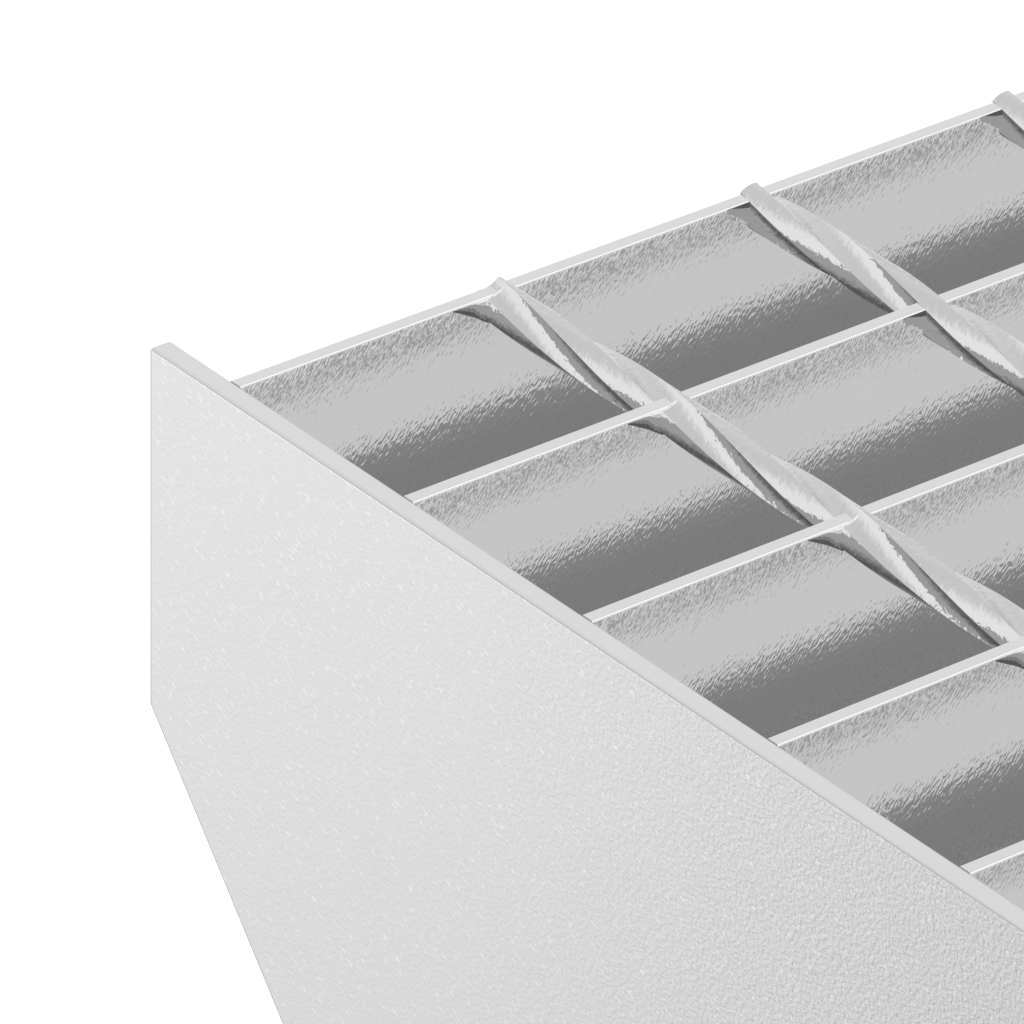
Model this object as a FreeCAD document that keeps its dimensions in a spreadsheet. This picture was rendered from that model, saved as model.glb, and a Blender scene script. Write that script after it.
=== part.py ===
"""Grating stair tread: flat bearing bars with twisted six-sided rods forged into their tops, between two
bolt-on end plates, with a folded and perforated nosing along the front edge. Millimetres; X runs along
the tread, -Y is the front, +Z is up, and the origin lies on the floor under the middle of the tread."""
import FreeCAD, Part
import math
import os
import Sketcher

os.makedirs("parts", exist_ok=True)
doc = FreeCAD.newDocument("stair_tread")

# Driving dimensions, in millimetres, degrees and counts.
SIZES = {
    "bar_count": 8,
    "bar_pitch": 33.333,
    "bar_wall": 2.0,
    "bar_height": 35.0,
    "rod_count": 14,
    "rod_pitch": 40.0,
    "rod_across_flats": 4.95,
    "rod_seat": 1.9,
    "rod_left_margin": 39.0,
    "rod_right_margin": 35.0,
    "twist_per_pitch": 120.0,
    "rod_lean": 15.0,
    "plate_wall": 3.0,
    "plate_height": 100.0,
    "plate_end_height": 49.2,
    "plate_corner_slope": 50.0,
    "plate_edge_bevel": 0.4,
    "rear_overhang": 12.0,
    "bolt_hole_diameter": 14.0,
    "bolt_spacing": 150.0,
    "bolt_rise": 25.0,
    "nosing_width": 22.669,
    "nosing_wall": 2.0,
    "nosing_bend_radius": 1.5,
    "grip_hole_diameter": 10.0,
    "grip_hole_pitch": 50.0,
    "grip_hole_count": 11,
    "weld_leg": 3.0,
    "weld_length": 24.0,
    "weld_drop": 6.0,
}

# Sides of a rod, and flat facets along its twist between two neighbouring bars.
ROD_SIDES = 6
TWIST_STEPS = 3

sheet = doc.addObject("Spreadsheet::Sheet", "sizes")
for row, (alias, value) in enumerate(SIZES.items(), start=1):
    sheet.set(f"A{row}", alias)
    sheet.set(f"B{row}", str(value))
    sheet.setAlias(f"B{row}", alias)
doc.recompute()

# Lengths that follow from the driving dimensions, as formulas on the sheet's cells.
CLEAR_LENGTH = "(sizes.rod_left_margin + (sizes.rod_count - 1) * sizes.rod_pitch + sizes.rod_right_margin)"
LEFT_INSIDE = f"(-{CLEAR_LENGTH} / 2)"
RIGHT_INSIDE = f"({CLEAR_LENGTH} / 2)"
GRATING_DEPTH = "((sizes.bar_count - 1) * sizes.bar_pitch + sizes.bar_wall)"
TREAD_DEPTH = f"(sizes.rear_overhang + {GRATING_DEPTH} + sizes.nosing_width)"
REAR_FACE = f"({TREAD_DEPTH} / 2 - sizes.rear_overhang)"
FRONT_EDGE = f"(-{TREAD_DEPTH} / 2)"
END_FOOT = "(sizes.plate_height - sizes.plate_end_height)"
CORNER_RUN = f"({END_FOOT} / tan(sizes.plate_corner_slope * 1deg))"

subparts = []


def measure(formula):
    """Present value of a formula on the sheet's cells."""
    return float(sheet.evalExpression(formula))


def place(piece, along, across, up):
    """Binds a piece's position to formulas."""
    piece.setExpression(".Placement.Base.x", along)
    piece.setExpression(".Placement.Base.y", across)
    piece.setExpression(".Placement.Base.z", up)


def bind(piece, **formulas):
    """Binds a piece's properties to formulas."""
    for name, formula in formulas.items():
        piece.setExpression(name, formula)


def keep(piece, label):
    """Lists a finished sub-part under the name of its file."""
    piece.Label = label
    subparts.append(piece)


def end_sketch(body, name):
    """Empty sketch in a body's own YZ plane, so that its X is the tread's Y and its Y is up."""
    plane = next(feature for feature in body.Origin.OriginFeatures if feature.Role == "YZ_Plane")
    sketch = body.newObject("Sketcher::SketchObject", name)
    sketch.AttachmentSupport = [(plane, "")]
    sketch.MapMode = "FlatFace"
    return sketch


def hold(sketch, geometry, point, formulas):
    """Holds one point of a sketch at two distances from the sketch's origin."""
    axes = (("DistanceX", -2), ("DistanceY", -1))
    for (kind, axis), formula in zip(axes, formulas):
        if formula == "0":
            sketch.addConstraint(Sketcher.Constraint("PointOnObject", geometry, point, axis))
            continue
        index = sketch.addConstraint(Sketcher.Constraint(kind, -1, 1, geometry, point, measure(formula)))
        sketch.setExpression(f"Constraints[{index}]", formula)


def outline(sketch, corners):
    """Closed outline of straight lines through corners given as formulas."""
    points = [FreeCAD.Vector(measure(across), measure(up), 0) for across, up in corners]
    for start, end in zip(points, points[1:] + points[:1]):
        sketch.addGeometry(Part.LineSegment(start, end), False)
    for index, corner in enumerate(corners):
        following = (index + 1) % len(corners)
        sketch.addConstraint(Sketcher.Constraint("Coincident", index, 2, following, 1))
        hold(sketch, index, 1, corner)


def holes(sketch, centres, diameter):
    """Round holes of one diameter, with centres given as formulas."""
    for across, up in centres:
        centre = FreeCAD.Vector(measure(across), measure(up), 0)
        circle = Part.Circle(centre, FreeCAD.Vector(0, 0, 1), measure(diameter) / 2)
        index = sketch.addGeometry(circle, False)
        hold(sketch, index, 3, (across, up))
        size = sketch.addConstraint(Sketcher.Constraint("Diameter", index, measure(diameter)))
        sketch.setExpression(f"Constraints[{size}]", diameter)


def pad(body, sketch, length):
    """Pads a sketch along the body's X."""
    feature = body.newObject("PartDesign::Pad", f"{sketch.Name}_pad")
    feature.Profile = sketch
    bind(feature, Length=length)
    doc.recompute()
    return feature


def pierce(body, sketch):
    """Cuts a sketch right through the body along its X."""
    before = body.Shape.Volume
    feature = body.newObject("PartDesign::Pocket", f"{sketch.Name}_pocket")
    feature.Profile = sketch
    feature.Type = "ThroughAll"
    feature.Reversed = True
    doc.recompute()
    if body.Shape.Volume >= before:
        raise ValueError(f"{sketch.Name} cuts nothing")
    return feature


def end_plate(label, first_face):
    """Upright plate with sloped lower corners, broken edges and two bolt holes, from an X face on."""
    body = doc.addObject("PartDesign::Body", label)
    profile = end_sketch(body, f"{label}_profile")
    far_corner = f"{TREAD_DEPTH} - {CORNER_RUN}"
    corners = [
        (CORNER_RUN, "0"),
        (far_corner, "0"),
        (TREAD_DEPTH, END_FOOT),
        (TREAD_DEPTH, "sizes.plate_height"),
        ("0", "sizes.plate_height"),
        ("0", END_FOOT),
    ]
    outline(profile, corners)
    blank = pad(body, profile, "sizes.plate_wall")
    edges = body.newObject("PartDesign::Chamfer", f"{label}_edges")
    edges.Base = (blank, [""])
    edges.UseAllEdges = True
    bind(edges, Size="sizes.plate_edge_bevel")
    doc.recompute()
    bolts = end_sketch(body, f"{label}_bolts")
    centres = [
        (f"({TREAD_DEPTH} - sizes.bolt_spacing) / 2", "sizes.bolt_rise"),
        (f"({TREAD_DEPTH} + sizes.bolt_spacing) / 2", "sizes.bolt_rise"),
    ]
    holes(bolts, centres, "sizes.bolt_hole_diameter")
    pierce(body, bolts)
    place(body, first_face, FRONT_EDGE, "0")
    keep(body, label)


def twisted_bar(across_flats, stations):
    """Many-sided bar along -Y whose section leans more at each station; a step's side is two triangles."""
    reach = across_flats / 2 / math.cos(math.pi / ROD_SIDES)
    rings = []
    for along, lean in stations:
        ring = []
        for corner in range(ROD_SIDES):
            turn = math.radians(lean + 360 / ROD_SIDES * corner)
            ring.append(FreeCAD.Vector(reach * math.sin(turn), -along, reach * math.cos(turn)))
        rings.append(ring)
    triangles = []
    for near, far in zip(rings, rings[1:]):
        for corner in range(ROD_SIDES):
            following = (corner + 1) % ROD_SIDES
            triangles.append((near[corner], near[following], far[corner]))
            triangles.append((near[following], far[following], far[corner]))
    flats = triangles + [tuple(rings[0]), tuple(rings[-1])]
    faces = [Part.Face(Part.makePolygon(list(flat) + [flat[0]])) for flat in flats]
    solid = Part.makeSolid(Part.makeShell(faces))
    if solid.Volume < 0:
        solid.reverse()
    return solid


def rod_stations(first_bar, last_bar):
    """Distances from the rear face where a rod's section is set, with the lean of its top corner to +X."""
    lean = measure("sizes.rod_lean")
    pitch = measure("sizes.bar_pitch")
    wall = measure("sizes.bar_wall")
    turn = measure("sizes.twist_per_pitch") / pitch
    places = []
    for bar in range(first_bar, last_bar + 1):
        rear = bar * pitch
        places += [rear, rear + wall]
        if bar < last_bar:
            step = (pitch - wall) / TWIST_STEPS
            places += [rear + wall + step * count for count in range(1, TWIST_STEPS)]
    return [(along, lean - turn * along) for along in places]


def rod_place(index):
    """Formulas of a rod's axis at the rear face."""
    along = f"{LEFT_INSIDE} + sizes.rod_left_margin + {index} * sizes.rod_pitch"
    return along, REAR_FACE, "sizes.plate_height - sizes.rod_seat"


def cross_rod(index):
    """Twisted rod from the rear face of the rear bar to the front face of the front bar."""
    last_bar = int(measure("sizes.bar_count")) - 1
    rod = doc.addObject("Part::Feature", f"cross_rod_{index + 1:02d}")
    rod.Shape = twisted_bar(measure("sizes.rod_across_flats"), rod_stations(0, last_bar))
    place(rod, *rod_place(index))
    keep(rod, rod.Name)


def bearing_bar(index):
    """Flat bar on edge, with a notch forged to each rod's own section."""
    name = f"bearing_bar_{index + 1}"
    stock = doc.addObject("Part::Box", f"{name}_stock")
    bind(stock, Length=CLEAR_LENGTH, Width="sizes.bar_wall", Height="sizes.bar_height")
    front_face = f"{REAR_FACE} - {index} * sizes.bar_pitch - sizes.bar_wall"
    place(stock, LEFT_INSIDE, front_face, "sizes.plate_height - sizes.bar_height")
    notches = []
    for rod in range(int(measure("sizes.rod_count"))):
        notch = doc.addObject("Part::Feature", f"{name}_notch_{rod + 1}")
        notch.Shape = twisted_bar(measure("sizes.rod_across_flats"), rod_stations(index, index))
        place(notch, *rod_place(rod))
        notches.append(notch)
    seats = doc.addObject("Part::Compound", f"{name}_seats")
    seats.Links = notches
    bar = doc.addObject("Part::Cut", name)
    bar.Base = stock
    bar.Tool = seats
    keep(bar, name)


def nosing():
    """Folded angle along the front edge, with a row of grip holes through its top."""
    body = doc.addObject("PartDesign::Body", "nosing")
    profile = end_sketch(body, "nosing_profile")
    flange_foot = "sizes.bar_height - sizes.nosing_wall"
    corners = [
        ("0", "0"),
        ("sizes.nosing_wall", "0"),
        ("sizes.nosing_wall", flange_foot),
        ("sizes.nosing_width", flange_foot),
        ("sizes.nosing_width", "sizes.bar_height"),
        ("0", "sizes.bar_height"),
    ]
    outline(profile, corners)
    fold = pad(body, profile, CLEAR_LENGTH)
    inner = bend(body, fold, "inner_bend", ("sizes.nosing_wall", flange_foot), "sizes.nosing_bend_radius")
    outer_radius = "sizes.nosing_bend_radius + sizes.nosing_wall"
    bend(body, inner, "outer_bend", ("0", "sizes.bar_height"), outer_radius)
    grip_holes(body)
    place(body, LEFT_INSIDE, FRONT_EDGE, "sizes.plate_height - sizes.bar_height")
    keep(body, "nosing")


def bend(body, base, name, corner, radius):
    """Rounds the one long edge that runs along X through a corner of the profile."""
    across, up = (measure(formula) for formula in corner)
    names = []
    for index, edge in enumerate(base.Shape.Edges, start=1):
        middle = edge.CenterOfMass
        if edge.BoundBox.XLength > 1 and math.hypot(middle.y - across, middle.z - up) < 0.001:
            names.append(f"Edge{index}")
    feature = body.newObject("PartDesign::Fillet", name)
    feature.Base = (base, names)
    bind(feature, Radius=radius)
    doc.recompute()
    return feature


def grip_holes(body):
    """Row of round holes down through the nosing's flange, centred on the tread."""
    plane = next(feature for feature in body.Origin.OriginFeatures if feature.Role == "XY_Plane")
    sketch = body.newObject("Sketcher::SketchObject", "grip_hole")
    sketch.AttachmentSupport = [(plane, "")]
    sketch.MapMode = "FlatFace"
    row_length = "(sizes.grip_hole_count - 1) * sizes.grip_hole_pitch"
    first = f"({CLEAR_LENGTH} - {row_length}) / 2"
    holes(sketch, [(first, "(sizes.nosing_width + sizes.nosing_wall) / 2")], "sizes.grip_hole_diameter")
    before = body.Shape.Volume
    pocket = body.newObject("PartDesign::Pocket", "grip_hole_pocket")
    pocket.Profile = sketch
    pocket.Type = "ThroughAll"
    pocket.Reversed = True
    doc.recompute()
    row = body.newObject("PartDesign::LinearPattern", "grip_hole_row")
    row.Originals = [pocket]
    row.Direction = (sketch, ["H_Axis"])
    bind(row, Length=row_length, Occurrences="sizes.grip_hole_count")
    body.Tip = row
    doc.recompute()
    hole = math.pi * (measure("sizes.grip_hole_diameter") / 2) ** 2 * measure("sizes.nosing_wall")
    if abs(before - body.Shape.Volume - hole * measure("sizes.grip_hole_count")) > hole / 2:
        raise ValueError("the grip holes don't all cut")


def weld_bead(name, corner, turn):
    """Fillet weld of triangular section up an inside corner, turned into its place about that corner."""
    bead = doc.addObject("Part::Wedge", name)
    bind(bead, Xmax="sizes.weld_leg", Ymax="sizes.weld_leg")
    bind(bead, Zmax="sizes.weld_length", Z2max="sizes.weld_length")
    for zero in ("Xmin", "Ymin", "Zmin", "X2min", "X2max", "Z2min"):
        setattr(bead, zero, 0)
    bead.Placement = FreeCAD.Placement(FreeCAD.Vector(), turn)
    place(bead, *corner)
    return bead


def weld_group(label, beads):
    """One sub-part of several separate beads."""
    group = doc.addObject("Part::Compound", label)
    group.Links = beads
    keep(group, label)


def weld_beads():
    """Welds between the bars' front faces and the end plates, and behind the nosing's front leg."""
    bead_top = "sizes.plate_height - sizes.weld_drop"
    bead_foot = f"{bead_top} - sizes.weld_length"
    about_x = FreeCAD.Rotation(FreeCAD.Vector(1, 0, 0), 180)
    about_y = FreeCAD.Rotation(FreeCAD.Vector(0, 1, 0), 180)
    about_z = FreeCAD.Rotation(FreeCAD.Vector(0, 0, 1), 180)
    left = []
    right = []
    for bar in range(int(measure("sizes.bar_count"))):
        face = f"{REAR_FACE} - {bar} * sizes.bar_pitch - sizes.bar_wall"
        left.append(weld_bead(f"left_bead_{bar + 1}", (LEFT_INSIDE, face, bead_top), about_x))
        right.append(weld_bead(f"right_bead_{bar + 1}", (RIGHT_INSIDE, face, bead_foot), about_z))
    weld_group("bar_welds_left", left)
    weld_group("bar_welds_right", right)
    leg = f"{FRONT_EDGE} + sizes.nosing_wall"
    upright = FreeCAD.Rotation()
    nosing_left = weld_bead("nosing_left_bead", (LEFT_INSIDE, leg, bead_foot), upright)
    nosing_right = weld_bead("nosing_right_bead", (RIGHT_INSIDE, leg, bead_top), about_y)
    weld_group("nosing_welds", [nosing_left, nosing_right])


def check():
    """Stops the build if any object failed or any sub-part has no valid solid."""
    doc.recompute()
    failed = [item.Name for item in doc.Objects if "Invalid" in item.State or "Error" in item.State]
    if failed:
        raise ValueError(f"failed objects: {failed}")
    for piece in subparts:
        if piece.Shape.isNull() or not piece.Shape.isValid() or not piece.Shape.Solids:
            raise ValueError(f"{piece.Label} has no valid solid")


for bar_index in range(int(measure("sizes.bar_count"))):
    bearing_bar(bar_index)
for rod_index in range(int(measure("sizes.rod_count"))):
    cross_rod(rod_index)
end_plate("end_plate_left", f"{LEFT_INSIDE} - sizes.plate_wall")
end_plate("end_plate_right", RIGHT_INSIDE)
nosing()
weld_beads()
check()
for piece in subparts:
    piece.Shape.exportStep(f"parts/{piece.Label}.step")
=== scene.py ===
"""Looks of a welded grating stair tread, hot-dip galvanised: bearing bars, twisted cross rods,
end plates, a pierced nosing and the welds between them."""
import math
import bpy
import numpy as np
from mathutils import Matrix, Vector, geometry


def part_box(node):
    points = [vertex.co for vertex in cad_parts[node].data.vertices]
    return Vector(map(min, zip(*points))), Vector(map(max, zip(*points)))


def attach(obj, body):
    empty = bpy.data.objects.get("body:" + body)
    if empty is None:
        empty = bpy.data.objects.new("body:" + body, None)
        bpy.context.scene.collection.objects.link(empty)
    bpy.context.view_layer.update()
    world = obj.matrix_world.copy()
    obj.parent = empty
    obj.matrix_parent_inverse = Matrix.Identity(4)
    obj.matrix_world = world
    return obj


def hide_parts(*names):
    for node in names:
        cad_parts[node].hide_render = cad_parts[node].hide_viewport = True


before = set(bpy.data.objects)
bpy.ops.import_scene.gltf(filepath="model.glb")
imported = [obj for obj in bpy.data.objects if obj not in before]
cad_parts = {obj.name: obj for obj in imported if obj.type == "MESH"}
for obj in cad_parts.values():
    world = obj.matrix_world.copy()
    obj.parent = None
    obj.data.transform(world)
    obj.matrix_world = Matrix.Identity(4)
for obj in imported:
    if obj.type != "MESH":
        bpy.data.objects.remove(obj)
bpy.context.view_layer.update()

MM = 0.001
BARS = sorted(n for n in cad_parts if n.startswith("bearing_bar_"))
RODS = sorted(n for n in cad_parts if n.startswith("cross_rod_"))

# Least turn of a normal, and least step in metres
NUDGE = 1e-6
HAIR = 1e-9

# Brightness of the zinc: bars and plates, rods and welds, and three darker steps of painted shade beside
# the rods
ZINC = 0.747
ROD_ZINC = 0.64
LIGHT_PAINTED_SHADE = 0.42
MID_PAINTED_SHADE = 0.26
DEEP_PAINTED_SHADE = 0.12

# Places of the three painted shade materials among a rod's materials
LIGHT_SHADE_SLOT, MID_SHADE_SLOT, DEEP_SHADE_SLOT = 1, 2, 3

# Skin of the zinc: broad blotches and short scuffs
BROAD_GRAIN = 90.0
BROAD_RANGE = (0.3, 0.7)
BLOTCH = 0.005
GLOSS = (0.05, 0.1)
SCUFF_GRAIN = 2600.0
SCUFF_STRETCH = 7
SCUFF_RANGE = (0.68, 0.78)

# Edges and bends
EDGE = 0.25 * MM
BAR_EDGE = 0.3 * MM
PLATE_RIM = 0.4 * MM
PLATE_CORNER = 0.45 * MM
BEND_OUTSIDE = 3.5 * MM
BEND_INSIDE = 1.5 * MM
ARC_STEPS = 6
BAR_CROWN = 28.0

# Cross rods: six ridges, the runs between them hollow and full by turns, a third of a turn from bar to bar
ROD_PARTS = 3
ROD_SHARP = 2.83 * MM
ROD_BLUNT = 2.76 * MM
ROD_SPREAD = 66.0
ROD_HOLLOW = -59.0
ROD_FULL = 45.0
ROD_LEANS = (18.0, 78.0, 78.0)
ROD_TURN = 120.0
ROD_STEP = 0.75 * MM
ROD_RUN_POINTS = 9
ROD_DEPTH = 1.9 * MM

# Metal pressed out to the left of a crossing, in millimetres from the rod's axis on the bar's front face:
# a bright lip over a wedge in three bands of painted shade, which end at shares of the wedge's height
SHOULDER_RUNS = ((-7.5, -2.4, 18), (-2.1, 0.2, 8))
SHOULDER_TOP = ((-7.5, 1.72), (-1.8, 1.80), (0.2, 2.50))
SHOULDER_LIP = ((-7.5, 0.05), (-5.0, 0.10), (-2.0, 0.50), (-0.8, 0.50), (0.2, 0.05))
SHOULDER_PALE = ((-7.5, 0.0), (-4.2, 0.0), (-3.0, 0.45), (0.2, 0.9))
SHOULDER_FOOT = ((-7.5, 1.54), (-4.3, -0.24), (-2.2, -1.7), (0.2, -1.7))
SHOULDER_BANDS = (
    ((-7.5, 0.02), (-5.5, 0.15), (-3.5, 0.55), (0.2, 0.6)),
    ((-7.5, 0.30), (-5.5, 0.50), (-3.5, 0.82), (0.2, 0.85)),
)
BAND_LIMITS = (0.02, 0.98)
SHOULDER_RAGGED = 0.1
LIP_UP = (0.0, -0.5, 0.87)
LIP_SIDE = (-0.35, -0.25, 0.9)
LIP_STANDS = (0.0, 0.1, 0.12, 0.16)
WEDGE_STANDS = (0.16, 0.12, 0.08, 0.03)
OFF_FACE = 0.03
SEAM = 0.02
FRONTWARD = (0.0, -0.97, 0.24)

# The same place beside a rod that leans far over: a sheet of painted shade, deep under the bar's edge and a
# lighter grey below it
POCKET_LEAN = 48.0
POCKET_RUN = (-5.6, 0.2, 24)
POCKET_TOP = ((-5.6, 1.74), (0.2, 1.80))
POCKET_DARK = ((-5.6, 0.02), (-4.8, 0.06), (-3.0, 0.60), (-1.2, 0.95), (0.2, 1.15))
POCKET_FOOT = ((-5.6, 1.3), (-4.4, 0.5), (-2.5, -0.7), (-1.0, -1.5), (0.2, -1.9))
POCKET_LEAST = 0.06
POCKET_RAGGED = 0.2
POCKET_STANDS = (0.02, 0.06, 0.02)

# A rod's lower left side before each bar, shaded as pressed to one way
PRESS_REACH = 5.5 * MM
PRESS_FADE = 2.5 * MM
PRESS_BELOW = 0.2 * MM
PRESS_WAY = (-0.985, 0.0, 0.10)

# Weld beads
WELD_RIPPLE = 1.7 * MM
WELD_GROOVE = 0.3 * MM
WELD_LEG = 3 * MM
WELD_END = 1.5 * MM
WELD_BOW = 0.5 * MM
WELD_STEP = 0.2 * MM
WELD_SWELL = 0.86
WELD_SHARP = 6
WELD_LEAST = 0.02
WELD_POINTS = 9
WELD_FLAT = 1e-15

# End plates
PLATE_SLOPE = 50.0
PLATE_BOW = 0.325
PLATE_END = 49.2 * MM
MOTTLE_REAR = 85.0 * MM
MOTTLE_FRONT = 5.0 * MM
BOLT_RADIUS = 7.0 * MM
BOLT_RISE = 25.0 * MM
BOLT_REACH = 75.0 * MM

# Nosing
GRIP_RADIUS = 5.0 * MM
GRIP_PITCH = 50.0 * MM
GRIP_COUNT = 11

# Floor and lamp
FLOOR_REACH = 20.0
FLOOR_WHITE = 0.95
FLOOR_GLOW = 0.7
LAMP_SIZE = 3.0
LAMP_POWER = 60.0
LAMP_AT = (0.0, 0.3, 3.0)

# Camera, on a 1024 pixel square image
LENS = 390.19
SENSOR = 36.0
CLIP = (0.05, 60.0)
CAMERA_AT = (-0.97693, -0.78499, 0.74496)
CAMERA_YAW = 38.5136
CAMERA_PITCH = 30.2848
CAMERA_ROLL = -1.0786


class Skin:
    """A skin gathered patch by patch, each point with the surface's own normal there."""

    def __init__(self):
        self.points = []
        self.normals = []
        self.faces = []
        self.slots = []
        self.count = 0

    def store(self, points, normals):
        """Keeps points with their normals, and gives the number of the first."""
        first = self.count
        flat = np.reshape(np.asarray(points, float), (-1, 3))
        self.points.append(flat)
        self.normals.append(np.broadcast_to(np.reshape(np.asarray(normals, float), (-1, 3)), flat.shape))
        self.count += len(flat)
        return first

    def grid(self, points, normals, closed=False, slot=0):
        """Four-sided faces between rows of points; closed joins each row's end to its start, and slot is
        the place of their material among the piece's."""
        rows, columns = points.shape[:2]
        index = self.store(points, normals) + np.arange(rows * columns).reshape(rows, columns)
        if closed:
            index = np.concatenate([index, index[:, :1]], axis=1)
        quads = np.stack([index[:-1, :-1], index[:-1, 1:], index[1:, 1:], index[1:, :-1]], axis=-1)
        self.faces.append(quads.reshape(-1, 4))
        self.slots.append(slot)

    def fill(self, loops, normal):
        """A flat face inside the first loop and outside the others."""
        first = self.store(np.concatenate(loops), normal)
        triangles = geometry.tessellate_polygon([[Vector(p) for p in loop] for loop in loops])
        self.faces.append(first + np.array(triangles))
        self.slots.append(0)

    def piece(self, node, *materials):
        """The finished object, which stands for a CAD node."""
        points = np.concatenate(self.points)
        normals = np.concatenate(self.normals)
        places, shared = np.unique(np.round(points, 8), axis=0, return_inverse=True)
        shared = np.reshape(shared, -1)
        faces = []
        corners = []
        slots = []
        for block, slot in zip(self.faces, self.slots):
            at = points[block]
            side = np.cross(at[:, 2] - at[:, 0], at[:, -1] - at[:, 1])
            back = np.sum(side * normals[block].sum(axis=1), axis=1) < 0
            block = np.where(back[:, None], block[:, ::-1], block)
            for face, ends in zip(block.tolist(), shared[block].tolist()):
                kept = [k for k in range(len(ends)) if ends[k] != ends[k - 1]]
                if len(kept) > 2:
                    faces.append([ends[k] for k in kept])
                    corners.extend(face[k] for k in kept)
                    slots.append(slot)
        mesh = bpy.data.meshes.new("look_" + node)
        mesh.from_pydata(places.tolist(), [], faces)
        mesh.shade_smooth()
        mesh.normals_split_custom_set(normals[corners].tolist())
        for material in materials:
            mesh.materials.append(material)
        mesh.polygons.foreach_set("material_index", slots)
        thing = bpy.data.objects.new("look_" + node, mesh)
        thing.visible_glossy = False
        bpy.context.scene.collection.objects.link(thing)
        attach(thing, "root")
        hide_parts(node)
        return thing


def rounded_loop(corners, radii, steps=ARC_STEPS):
    """A closed outline, run anticlockwise, with rounded corners, and its outward normals."""
    corners = np.asarray(corners, float)
    points = []
    normals = []
    for i, corner in enumerate(corners):
        back = corner - corners[i - 1]
        ahead = corners[(i + 1) % len(corners)] - corner
        back = back / np.linalg.norm(back)
        ahead = ahead / np.linalg.norm(ahead)
        turn = math.atan2(back[0] * ahead[1] - back[1] * ahead[0], back @ ahead)
        side = math.copysign(1, turn)
        out = np.array([back[1], -back[0]])
        centre = corner - back * radii[i] * math.tan(abs(turn) / 2) - out * radii[i] * side
        for s in range(steps + 1):
            c, d = math.cos(turn * s / steps), math.sin(turn * s / steps)
            normal = np.array([c * out[0] - d * out[1], d * out[0] + c * out[1]])
            points.append(centre + normal * radii[i] * side)
            normals.append(normal)
    return np.array(points), np.array(normals)


def hole_loop(centre, radius, count=48):
    """A round hole's outline; its normals look into the hole."""
    angles = np.linspace(0, 2 * math.pi, count, endpoint=False)
    out = np.stack([np.cos(angles), np.sin(angles)], axis=-1)
    return np.asarray(centre) + out * radius, -out


def rim_rows(wall, rim, steps=ARC_STEPS):
    """Across a sheet's edge: inset, height in the wall, and the normal's share along each."""
    rows = []
    for s in range(steps + 1):
        a = math.pi / 2 * s / steps
        rows.append((rim * (1 - math.sin(a)), wall - rim * (1 - math.cos(a)), math.sin(a), math.cos(a)))
    return rows + [(i, wall - h, n, -w) for i, h, n, w in reversed(rows)]


def edge_band(skin, loop, wall, rim, place, turn):
    """The rounded edge of a sheet round one loop; gives the loops of its two faces."""
    points, normals = loop
    grid = []
    sides = []
    for inset, height, flat, up in rim_rows(wall, rim):
        grid.append(place(points - normals * inset, height))
        sides.append(turn(normals * flat, up))
    skin.grid(np.array(grid), np.array(sides), closed=True)
    return grid[0], grid[-1]


def extrude(skin, loop, x0, x1, skip=()):
    """A profile in Y and Z drawn along X, with flat ends; skip leaves out straight runs."""
    points, normals = loop
    count = len(points)
    ends = [np.column_stack([np.full(count, x), points]) for x in (x0, x1)]
    sides = np.column_stack([np.zeros(count), normals])
    for i in range(count):
        if i not in skip:
            pair = [i, (i + 1) % count]
            skin.grid(np.array([end[pair] for end in ends]), np.array([sides[pair], sides[pair]]))
    skin.fill([ends[0]], (-1, 0, 0))
    skin.fill([ends[1]], (1, 0, 0))


def crown(normals, lean):
    """Normals that look sideways turned towards the nearer edge, as on a face that is slightly crowned."""
    angle = np.arctan2(normals[:, 1], np.abs(normals[:, 0]))
    least = math.radians(lean)
    angle = np.sign(angle) * (least + np.abs(angle) * (1 - least / (math.pi / 2)))
    return np.column_stack([np.sign(normals[:, 0]) * np.cos(angle), np.sin(angle)])


def bearing_bar(node, material):
    """A flat bar with rounded edges, its upright faces shaded as crowned."""
    low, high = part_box(node)
    skin = Skin()
    corners = [(low.y, low.z), (high.y, low.z), (high.y, high.z), (low.y, high.z)]
    points, normals = rounded_loop(corners, [BAR_EDGE] * 4)
    middle = (low.z + high.z) / 2
    upright = np.abs(normals[:, 0]) > NUDGE
    tilted = normals.copy()
    tilted[:, 1] += NUDGE * np.sign(points[:, 1] - middle)
    normals = np.where(upright[:, None], crown(tilted, BAR_CROWN), normals)
    extrude(skin, (points, normals), low.x, high.x)
    return skin.piece(node, material)


def end_plate(node, material):
    """A plate with sloped lower corners and two bolt holes, its faces shaded as bowed forward."""
    low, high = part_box(node)
    wall = high.x - low.x
    run = (high.z - low.z - PLATE_END) / math.tan(math.radians(PLATE_SLOPE))
    corners = [
        (low.y + run, low.z),
        (high.y - run, low.z),
        (high.y, high.z - PLATE_END),
        (high.y, high.z),
        (low.y, high.z),
        (low.y, high.z - PLATE_END),
    ]
    loops = [rounded_loop(corners, [PLATE_CORNER] * 6)]
    loops += [hole_loop((y, low.z + BOLT_RISE), BOLT_RADIUS) for y in (-BOLT_REACH, BOLT_REACH)]

    def place(points, height):
        return np.column_stack([np.full(len(points), low.x + height), points])

    def turn(normals, up):
        bowed = np.column_stack([np.full(len(normals), up), normals - np.array((PLATE_BOW * abs(up), 0.0))])
        return bowed / np.linalg.norm(bowed, axis=1, keepdims=True)

    skin = Skin()
    faces = [edge_band(skin, loop, wall, PLATE_RIM, place, turn) for loop in loops]
    flat = math.hypot(1, PLATE_BOW)
    skin.fill([f[0] for f in faces], (1 / flat, -PLATE_BOW / flat, 0))
    skin.fill([f[1] for f in faces], (-1 / flat, -PLATE_BOW / flat, 0))
    return skin.piece(node, material)


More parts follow.
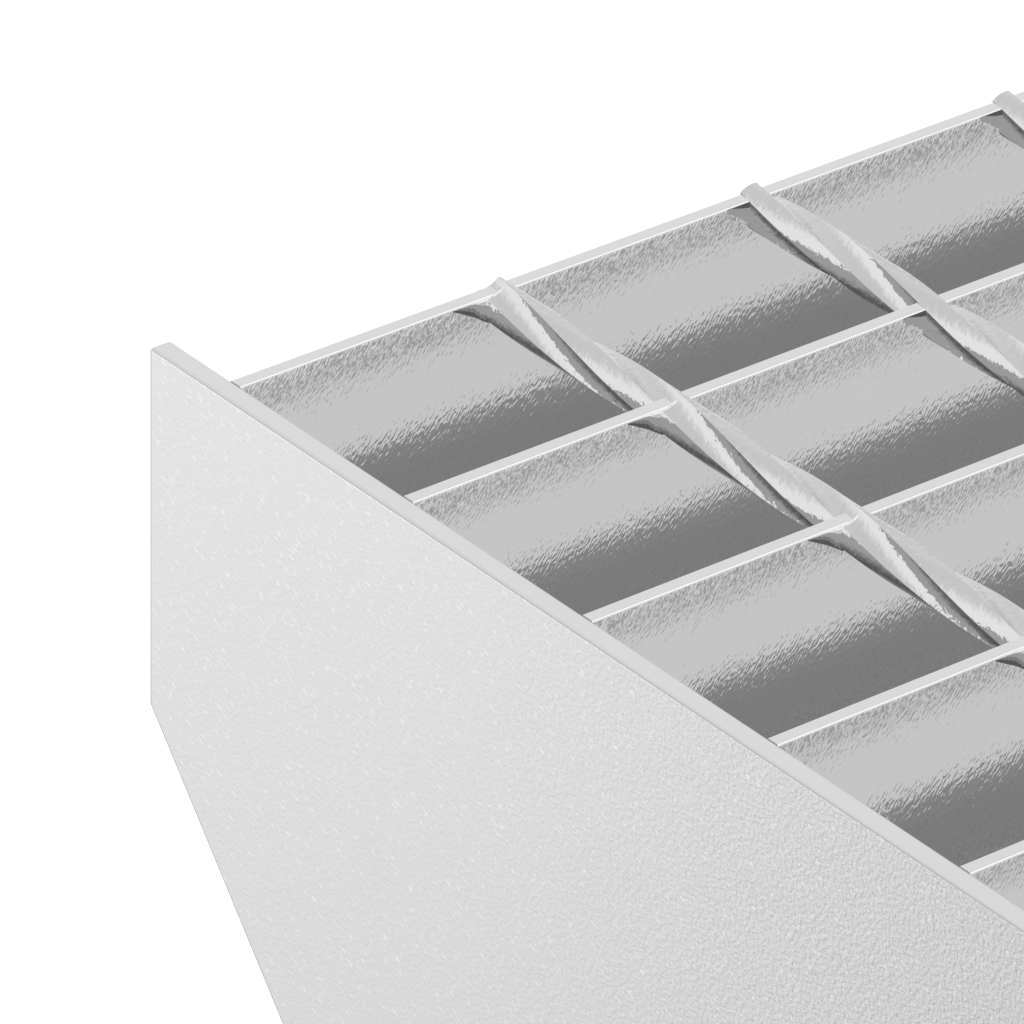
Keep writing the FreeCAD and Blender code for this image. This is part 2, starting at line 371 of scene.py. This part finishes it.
def nosing(node, material):
    """A folded angle with a row of grip holes through its upper leg."""
    low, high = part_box(node)
    wall = BEND_OUTSIDE - BEND_INSIDE
    corners = [
        (high.y, high.z),
        (low.y, high.z),
        (low.y, low.z),
        (low.y + wall, low.z),
        (low.y + wall, high.z - wall),
        (high.y, high.z - wall),
    ]
    radii = [EDGE, BEND_OUTSIDE, EDGE, EDGE, BEND_INSIDE, EDGE]
    points, normals = rounded_loop(corners, radii)
    top_run = ARC_STEPS
    low_run = 4 * (ARC_STEPS + 1) + ARC_STEPS
    skin = Skin()
    extrude(skin, (points, normals), low.x, high.x, skip=(top_run, low_run))

    def place(flat, height):
        return np.column_stack([flat, np.full(len(flat), high.z - wall + height)])

    def turn(sides, up):
        return np.column_stack([sides, np.full(len(sides), up)])

    middle = (low.y + high.y + wall) / 2
    holes = []
    for k in range(GRIP_COUNT):
        centre = ((k - (GRIP_COUNT - 1) / 2) * GRIP_PITCH, middle)
        holes.append(edge_band(skin, hole_loop(centre, GRIP_RADIUS), wall, EDGE, place, turn))
    for run, face, up in ((top_run, 0, 1), (low_run, 1, -1)):
        first, last = points[run], points[run + 1]
        sheet = [
            (low.x, first[0], first[1]),
            (high.x, first[0], first[1]),
            (high.x, last[0], last[1]),
            (low.x, last[0], last[1]),
        ]
        skin.fill([np.array(sheet)] + [h[face] for h in holes], (0, 0, up))
    return skin.piece(node, material)


def arc_run(first, last, turn, count):
    """Points and outward normals of an arc of turn degrees between two ridges; a negative arc is hollow."""
    first, last = np.array(first), np.array(last)
    chord = last - first
    length = np.linalg.norm(chord)
    along = chord / length
    out = np.array((-along[1], along[0]))
    half = math.radians(turn) / 2
    radius = length / 2 / math.sin(half)
    angles = np.linspace(-half, half, count)[:, None]
    rise = radius * (np.cos(angles) - math.cos(half))
    points = (first + last) / 2 + radius * np.sin(angles) * along + rise * out
    return points, np.sin(angles) * along + np.cos(angles) * out


def rod_section():
    """The rod's section with a sharp ridge at the top: points and outward normals, run by run."""
    def ridge(lean, reach):
        return reach * math.sin(math.radians(lean)), reach * math.cos(math.radians(lean))

    part = 360 / ROD_PARTS
    runs = []
    for k in range(ROD_PARTS):
        before = ridge(part * k - ROD_SPREAD, ROD_BLUNT)
        sharp = ridge(part * k, ROD_SHARP)
        after = ridge(part * (k + 1) - ROD_SPREAD, ROD_BLUNT)
        runs.append(arc_run(before, sharp, ROD_HOLLOW, ROD_RUN_POINTS))
        runs.append(arc_run(sharp, after, ROD_FULL, ROD_RUN_POINTS))
    return np.concatenate([r[0] for r in runs]), np.concatenate([r[1] for r in runs])


def along_line(places, x):
    """Height at x of a line through places."""
    return np.interp(x, [p[0] for p in places], [p[1] for p in places])


def ragged(x, height):
    """A small unevenness along x."""
    return height * (0.6 * np.sin(9 * x) + 0.4 * np.sin(23 * x + 1))


def front_row(axis, face, x, height, ahead):
    """A row of points before a bar's front face; x, height and ahead are millimetres from axis and face."""
    ahead = np.broadcast_to(ahead, x.shape)
    return np.column_stack([axis[0] + x * MM, face - ahead * MM, axis[1] + height * MM])


def front_bands(skin, rows, slots):
    """Bands between neighbouring rows before a bar's front face, each in a painted shade material of its
    own.
    """
    for first, second, slot in zip(rows, rows[1:], slots):
        pair = np.array((first, second))
        skin.grid(pair, np.broadcast_to(FRONTWARD, pair.shape), slot=slot)


def shoulder(skin, axis, face):
    """The metal pressed out beside a rod on a bar's front face: a bright lip over a wedge darkened by
    painted shade in three bands.
    """
    x = np.concatenate([np.linspace(*run) for run in SHOULDER_RUNS])
    share = (x - x[0]) / (x[-1] - x[0])
    top = along_line(SHOULDER_TOP, x)
    lip = top - along_line(SHOULDER_LIP, x)
    start = lip - along_line(SHOULDER_PALE, x) - SEAM
    foot = np.minimum(along_line(SHOULDER_FOOT, x), start)
    heights = (top, lip + SEAM, lip - 2 * SEAM, start)
    rows = [front_row(axis, face, x, h, OFF_FACE + s * share) for h, s in zip(heights, LIP_STANDS)]
    ways = [np.array(way) / np.linalg.norm(way) for way in (LIP_UP, LIP_UP, LIP_SIDE, LIP_SIDE)]
    skin.grid(np.array(rows), np.array([np.broadcast_to(way, rows[0].shape) for way in ways]))
    heights = [start]
    for band in SHOULDER_BANDS:
        down = np.clip(along_line(band, x) + ragged(x, SHOULDER_RAGGED), *BAND_LIMITS)
        heights.append(start + (foot - start) * down)
    heights.append(foot)
    rows = [front_row(axis, face, x, h, OFF_FACE + s * share) for h, s in zip(heights, WEDGE_STANDS)]
    # The wedge's three bands below the lip are painted shade, darkest at the foot
    front_bands(skin, rows, (LIGHT_SHADE_SLOT, MID_SHADE_SLOT, DEEP_SHADE_SLOT))


def pocket(skin, axis, face):
    """The metal beside a rod that leans far over: painted shade on a sheet before the bar's face, deep
    under the bar's edge and lighter grey below it.
    """
    x = np.linspace(*POCKET_RUN)
    top = along_line(POCKET_TOP, x)
    dark = top - along_line(POCKET_DARK, x)
    foot = np.minimum(along_line(POCKET_FOOT, x) + ragged(x, POCKET_RAGGED), dark - POCKET_LEAST)
    rows = [front_row(axis, face, x, h, s) for h, s in zip((top, dark, foot), POCKET_STANDS)]
    # Painted shade: the deepest band under the bar's edge, the lighter one below
    front_bands(skin, rows, (DEEP_SHADE_SLOT, LIGHT_SHADE_SLOT))


def cross_rod(node, lean, bars, materials):
    """A twisted rod whose sharp ridge has a lean at the rear, with the metal pressed out at each bar and
    painted shade beside it.
    """
    low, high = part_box(node)
    axis_x = (low.x + high.x) / 2
    axis_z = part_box(BARS[0])[1].z - ROD_DEPTH
    length = high.y - low.y
    rate = math.radians(ROD_TURN) / (bars[0][1] - bars[1][1])
    stations = np.linspace(0, length, int(length / ROD_STEP) + 1)
    ring, sides = rod_section()
    c = np.cos(math.radians(lean) - rate * stations)[:, None]
    s = np.sin(math.radians(lean) - rate * stations)[:, None]
    x, z = c * ring[:, 0] + s * ring[:, 1], c * ring[:, 1] - s * ring[:, 0]
    out_x, out_z = c * sides[:, 0] + s * sides[:, 1], c * sides[:, 1] - s * sides[:, 0]
    y = np.broadcast_to((high.y - stations)[:, None], x.shape)
    rows = np.stack([axis_x + x, y, np.minimum(axis_z + z, high.z)], axis=-1)
    normals = np.stack([out_x, -rate * (z * out_x - x * out_z), out_z], axis=-1)
    normals /= np.linalg.norm(normals, axis=-1, keepdims=True)
    ahead = (high.y - stations - bars[0][0]) % (bars[1][0] - bars[0][0])
    near_bar = np.clip((PRESS_REACH + ahead) / PRESS_FADE, 0, 1)
    pressed = near_bar[:, None] * ((x < 0) & (z < PRESS_BELOW) & (out_z > 0))
    normals += (np.array(PRESS_WAY) - normals) * pressed[:, :, None]
    normals /= np.linalg.norm(normals, axis=-1, keepdims=True)
    skin = Skin()
    skin.grid(rows, normals, closed=True)
    outline = [k for k in range(len(ring)) if k % ROD_RUN_POINTS < ROD_RUN_POINTS - 1]
    skin.fill([rows[0][outline]], (0, 1, 0))
    skin.fill([rows[-1][outline]], (0, -1, 0))
    beside = shoulder if lean < POCKET_LEAN else pocket
    for near, _ in bars[:-1]:
        beside(skin, (axis_x, axis_z), near)
    return skin.piece(node, *materials)


def weld_bead(skin, corner, legs, low, high):
    """A rippled bead in an upright corner; legs are its reach from the corner along X and Y."""
    heights = np.arange(low, high + HAIR, WELD_STEP)
    angles = np.linspace(0, math.pi / 2, WELD_POINTS)
    rows = []
    for z in heights:
        end = min(z - low, high - z) / WELD_END
        full = math.sqrt(max(1 - (1 - min(end, 1.0)) ** 2, WELD_LEAST))
        phase = (z - low) / WELD_RIPPLE
        groove = WELD_GROOVE / WELD_LEG * abs(math.sin(math.pi * phase)) ** WELD_SHARP
        reach = full * (1 - groove)
        bow = z + WELD_BOW * full * np.sin(2 * angles)
        x = corner[0] + legs[0] * reach * np.cos(angles) ** WELD_SWELL
        y = corner[1] + legs[1] * reach * np.sin(angles) ** WELD_SWELL
        rows.append(np.column_stack([x, y, np.clip(bow, low, high)]))
    rows = np.array(rows)
    normals = np.cross(np.gradient(rows, axis=1), np.gradient(rows, axis=0))
    centre = np.array((corner[0], corner[1], 0.0))
    away = rows - centre
    away[..., 2] = 0
    normals *= np.where(np.median(np.sum(normals * away, axis=-1)) < 0, -1, 1)
    length = np.linalg.norm(normals, axis=-1, keepdims=True)
    normals = np.where(length > WELD_FLAT, normals / np.maximum(length, WELD_FLAT), away)
    skin.grid(rows, normals)


def welds(node, corners, material):
    """The beads of one node, each in its corner."""
    low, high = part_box(node)
    skin = Skin()
    for corner, legs in corners:
        weld_bead(skin, corner, legs, low.z, high.z)
    return skin.piece(node, material)


def node(tree, kind, inputs=None, **settings):
    """A shader node with its settings and its sockets' values or links."""
    made = tree.nodes.new(kind)
    for key, value in settings.items():
        setattr(made, key, value)
    for key, value in (inputs or {}).items():
        socket = made.inputs[key]
        if isinstance(value, bpy.types.NodeSocket):
            tree.links.new(value, socket)
        else:
            socket.default_value = value
    return made


def ramp(tree, value, start, end, low=0.0, high=1.0):
    """A smooth step of a value, from low at start to high at end."""
    return node(tree, "ShaderNodeMapRange", {
        "Value": value, "From Min": start, "From Max": end, "To Min": low, "To Max": high},
        interpolation_type="SMOOTHSTEP").outputs["Result"]


def math_node(tree, operation, first, second):
    """The outcome of one operation on two values."""
    return node(tree, "ShaderNodeMath", {0: first, 1: second}, operation=operation).outputs["Value"]


def product(tree, first, *others):
    """The product of several values."""
    for other in others:
        first = math_node(tree, "MULTIPLY", first, other)
    return first


def galvanised(name, grain, depth, slope=(0, 0, 0), stretch=(1, 1, 1), detail=0.0, swell=0.0, flecks=0.0,
               base=ZINC, calm=1.0, spread=(1.0, 1.0)):
    """Hot-dip zinc: bright metal with a fine wavy skin that runs along a slope, and faint blotches.

    grain is the skin's waves in a metre, depth their height, slope the turn of the way they run in degrees,
    stretch how much longer they are that way, detail the finer waves on them, swell the height of the broad
    unevenness, flecks the brightness of short scuffs along the same way, calm the share of the waves left
    on the faces that look up, and spread the share of the waves' height at the rear and further forward."""
    mat = bpy.data.materials.new(name)
    mat.use_nodes = True
    tree = mat.node_tree
    tree.nodes.clear()
    place = node(tree, "ShaderNodeTexCoord").outputs["Object"]
    turn = tuple(math.radians(a) for a in slope)

    def laid(lengths):
        return node(tree, "ShaderNodeMapping", {"Vector": place, "Rotation": turn, "Scale": lengths},
                    vector_type="TEXTURE").outputs["Vector"]

    wave = node(tree, "ShaderNodeTexNoise", {
        "Vector": laid(stretch), "Scale": grain, "Detail": detail, "Roughness": 0.55,
        "Distortion": 0.3}).outputs["Fac"]
    broad = node(tree, "ShaderNodeTexNoise", {
        "Vector": place, "Scale": BROAD_GRAIN, "Detail": 3.0, "Roughness": 0.5}).outputs["Fac"]
    uneven = node(tree, "ShaderNodeBump", {"Height": broad, "Strength": 1.0, "Distance": swell})
    facing = node(tree, "ShaderNodeNewGeometry").outputs["Normal"]
    upward = node(tree, "ShaderNodeSeparateXYZ", {"Vector": facing}).outputs["Z"]
    rearward = node(tree, "ShaderNodeSeparateXYZ", {"Vector": place}).outputs["Y"]
    rise = ramp(tree, rearward, MOTTLE_REAR, MOTTLE_FRONT, low=depth * spread[0], high=depth * spread[1])
    ripple = node(tree, "ShaderNodeBump", {
        "Height": wave, "Strength": ramp(tree, upward, 0.5, 0.65, low=1.0, high=calm), "Distance": rise,
        "Normal": uneven.outputs["Normal"]})

    def blotched(least, most):
        return node(tree, "ShaderNodeMapRange", {
            "Value": broad, "From Min": BROAD_RANGE[0], "From Max": BROAD_RANGE[1],
            "To Min": least, "To Max": most}).outputs["Result"]

    gloss = blotched(*GLOSS)
    shade = blotched(base * (1 - BLOTCH), base * (1 + BLOTCH))
    if flecks:
        longer = tuple(1 + SCUFF_STRETCH * (s - 1) for s in stretch)
        scuff = node(tree, "ShaderNodeTexNoise", {
            "Vector": laid(longer), "Scale": SCUFF_GRAIN, "Detail": 0.0, "Distortion": 0.2}).outputs["Fac"]
        scuff = node(tree, "ShaderNodeMapRange", {
            "Value": scuff, "From Min": SCUFF_RANGE[0], "From Max": SCUFF_RANGE[1],
            "To Max": flecks}).outputs["Result"]
        scuff = product(tree, scuff, ramp(tree, upward, 0.6, 0.3))
        shade = math_node(tree, "ADD", shade, scuff)
    zinc = node(tree, "ShaderNodeCombineColor", {"Red": shade, "Green": shade, "Blue": shade})
    shader = node(tree, "ShaderNodeBsdfPrincipled", {
        "Base Color": zinc.outputs["Color"], "Metallic": 1.0, "Roughness": gloss,
        "Normal": ripple.outputs["Normal"]})
    node(tree, "ShaderNodeOutputMaterial", {"Surface": shader.outputs["BSDF"]})
    return mat


def room():
    """A room for the metal to mirror: a white wall behind, a pale sheet on the left, a white ceiling, and a
    dim front with a pale band at table height."""
    world = bpy.data.worlds.new("studio")
    bpy.context.scene.world = world
    world.use_nodes = True
    tree = world.node_tree
    tree.nodes.clear()
    way = node(tree, "ShaderNodeTexCoord").outputs["Generated"]
    axes = node(tree, "ShaderNodeSeparateXYZ", {"Vector": way}).outputs
    side, height = axes["X"], axes["Z"]
    left = math_node(tree, "ARCTAN2", math_node(tree, "MULTIPLY", side, -1.0), axes["Y"])

    def bearing(start, end, low=0.0, high=1.0):
        return ramp(tree, left, math.radians(start), math.radians(end), low, high)

    def level(start, end, low=0.0, high=1.0):
        return ramp(tree, height, start, end, low, high)

    # White wall behind, brighter to the left and dim high on the right
    rim = ramp(tree, math_node(tree, "ADD", height, bearing(-25, -42, high=0.4)), -0.06, 0.04)
    glow = product(tree, bearing(-22, 32, low=0.08, high=0.32), level(0.42, 0.80, low=1.0, high=0.0))
    notch = math_node(tree, "MAXIMUM", bearing(-49, -43, low=0.3), level(0.62, 0.54))
    upper = math_node(tree, "ADD", glow, 0.86)
    upper = product(tree, upper, rim, bearing(72, 63, low=0.6), bearing(-56, -40, low=0.78), notch)
    lower = level(-0.80, -0.35, low=0.12, high=0.50)
    wall = product(tree, math_node(tree, "MAXIMUM", upper, lower), bearing(-100, -70))

    # Pale sheet low on the left
    sheet = product(
        tree, bearing(94, 73, low=0.10, high=1.09), bearing(64, 69), level(-0.85, -0.45),
        level(-0.46, -0.40, low=1.0, high=1.25), level(0.08, 0.0))

    # Ceiling with a brighter strip
    strip = product(
        tree, ramp(tree, side, 0.2, 0.4, high=0.35), ramp(tree, side, 0.85, 0.7), level(0.95, 0.88),
        ramp(tree, axes["Y"], -0.45, -0.25))
    ceiling = product(
        tree, level(0.62, 0.80), math_node(tree, "ADD", strip, 1.0), ramp(tree, axes["Y"], 0.45, 0.15))

    # Dim front with a pale band, and faint slats below it
    band = product(tree, level(-0.387, -0.377, high=0.432), level(0.24, 0.11, low=0.15))
    band = math_node(tree, "ADD", band, level(0.25, 0.33, high=0.5))
    front = math_node(tree, "ADD", band, level(-0.60, -0.38, low=0.262, high=0.315))
    slats = math_node(tree, "SINE", math_node(tree, "MULTIPLY", height, 120.0), 0.0)
    front = math_node(tree, "ADD", front, product(tree, slats, level(-0.385, -0.45, high=0.03)))
    front = product(tree, front, ramp(tree, side, -0.25, 0.35, low=0.3))

    light = math_node(tree, "MAXIMUM", wall, sheet)
    light = math_node(tree, "MAXIMUM", math_node(tree, "MAXIMUM", light, ceiling), front)
    sky = node(tree, "ShaderNodeBackground", {"Color": (1, 1, 1, 1), "Strength": light})
    node(tree, "ShaderNodeOutputWorld", {"Surface": sky.outputs["Background"]})


def ground():
    """A pale floor under the tread, out of the metal's sight."""
    mesh = bpy.data.meshes.new("floor")
    reach = FLOOR_REACH
    corners = [(-reach, -reach, 0), (reach, -reach, 0), (reach, reach, 0), (-reach, reach, 0)]
    mesh.from_pydata(corners, [], [(0, 1, 2, 3)])
    floor = bpy.data.objects.new("floor", mesh)
    bpy.context.scene.collection.objects.link(floor)
    floor.visible_glossy = False
    mat = bpy.data.materials.new("floor")
    mat.use_nodes = True
    tree = mat.node_tree
    tree.nodes.clear()
    path = node(tree, "ShaderNodeLightPath").outputs
    seen = math_node(tree, "MAXIMUM", path["Is Camera Ray"], path["Is Glossy Ray"])
    seen = math_node(tree, "MAXIMUM", seen, path["Is Transmission Ray"])
    share = product(tree, seen, FLOOR_GLOW)
    matt = node(tree, "ShaderNodeBsdfDiffuse", {"Color": (FLOOR_WHITE, FLOOR_WHITE, FLOOR_WHITE, 1)})
    white = node(tree, "ShaderNodeEmission", {"Color": (1, 1, 1, 1), "Strength": 1.0})
    mixed = node(tree, "ShaderNodeMixShader", {
        0: share, 1: matt.outputs["BSDF"], 2: white.outputs["Emission"]})
    node(tree, "ShaderNodeOutputMaterial", {"Surface": mixed.outputs["Shader"]})
    mesh.materials.append(mat)


def overhead():
    """A broad lamp over the tread, out of the metal's sight."""
    lamp = bpy.data.lights.new("overhead", "AREA")
    lamp.shape = "DISK"
    lamp.size = LAMP_SIZE
    lamp.energy = LAMP_POWER
    hung = bpy.data.objects.new("overhead", lamp)
    hung.location = LAMP_AT
    hung.visible_glossy = False
    bpy.context.scene.collection.objects.link(hung)


def camera():
    """The camera: its way from yaw, pitch and roll, then its lens."""
    yaw, pitch, roll = (math.radians(a) for a in (CAMERA_YAW, CAMERA_PITCH, CAMERA_ROLL))
    forward = Vector((math.cos(pitch) * math.sin(yaw), math.cos(pitch) * math.cos(yaw), -math.sin(pitch)))
    level = Vector((math.cos(yaw), -math.sin(yaw), 0))
    down = forward.cross(level)
    right = level * math.cos(roll) + down * math.sin(roll)
    below = down * math.cos(roll) - level * math.sin(roll)
    data = bpy.data.cameras.new("camera")
    data.lens = LENS
    data.sensor_width = SENSOR
    data.clip_start = CLIP[0]
    data.clip_end = CLIP[1]
    thing = bpy.data.objects.new("camera", data)
    turn = Matrix((right, -below, -forward)).transposed().to_4x4()
    thing.matrix_world = Matrix.Translation(CAMERA_AT) @ turn
    bpy.context.scene.collection.objects.link(thing)
    bpy.context.scene.camera = thing


camera()
room()
ground()
overhead()
bar_zinc = galvanised("zinc_bar", 3500.0, 0.045 * MM, slope=(0, -60, 0), stretch=(2.6, 1, 1), calm=0.15)
rod_zinc = galvanised("zinc_rod", 1000.0, 0.12 * MM, detail=1.5, swell=0.01 * MM, base=ROD_ZINC)
# The next three are painted shade: darker copies of the rod's zinc for the wedges and pockets beside the
# crossings
light_painted_shade_zinc = galvanised("zinc_painted_shade_light", 1500.0, 0.10 * MM, detail=1.5, base=LIGHT_PAINTED_SHADE)
mid_painted_shade_zinc = galvanised("zinc_painted_shade_mid", 1500.0, 0.10 * MM, detail=1.5, base=MID_PAINTED_SHADE)
deep_painted_shade_zinc = galvanised("zinc_painted_shade_deep", 1500.0, 0.10 * MM, detail=1.5, base=DEEP_PAINTED_SHADE)
plate_zinc = galvanised("zinc_plate", 2200.0, 0.022 * MM, slope=(27, 0, 0), stretch=(1, 1.4, 1), detail=1.5,
                        swell=0.006 * MM, flecks=0.11, calm=0.2, spread=(0.6, 1.35))
bar_spans = []
for name in BARS:
    bearing_bar(name, bar_zinc)
    low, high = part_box(name)
    bar_spans.append((low.y, high.y))
bar_spans.sort(reverse=True)
# Each rod gets its own zinc and the three painted shade materials
for k, name in enumerate(RODS):
    cross_rod(name, ROD_LEANS[k % len(ROD_LEANS)], bar_spans, (rod_zinc, light_painted_shade_zinc, mid_painted_shade_zinc, deep_painted_shade_zinc))
for name in ("end_plate_left", "end_plate_right"):
    end_plate(name, plate_zinc)
nosing("nosing", plate_zinc)
ends = (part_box(BARS[0])[0].x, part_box(BARS[0])[1].x)
legs = []
for k, name in enumerate(("bar_welds_left", "bar_welds_right")):
    low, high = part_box(name)
    leg = high.x - low.x
    inward = leg if k == 0 else -leg
    welds(name, [((ends[k], near), (inward, -leg)) for near, _ in bar_spans], rod_zinc)
    legs.append(leg)
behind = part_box("nosing_welds")[0].y
welds("nosing_welds", [
    ((ends[0], behind), (legs[0], legs[0])),
    ((ends[1], behind), (-legs[1], legs[1])),
], rod_zinc)

bpy.context.scene.view_settings.view_transform = "Standard"
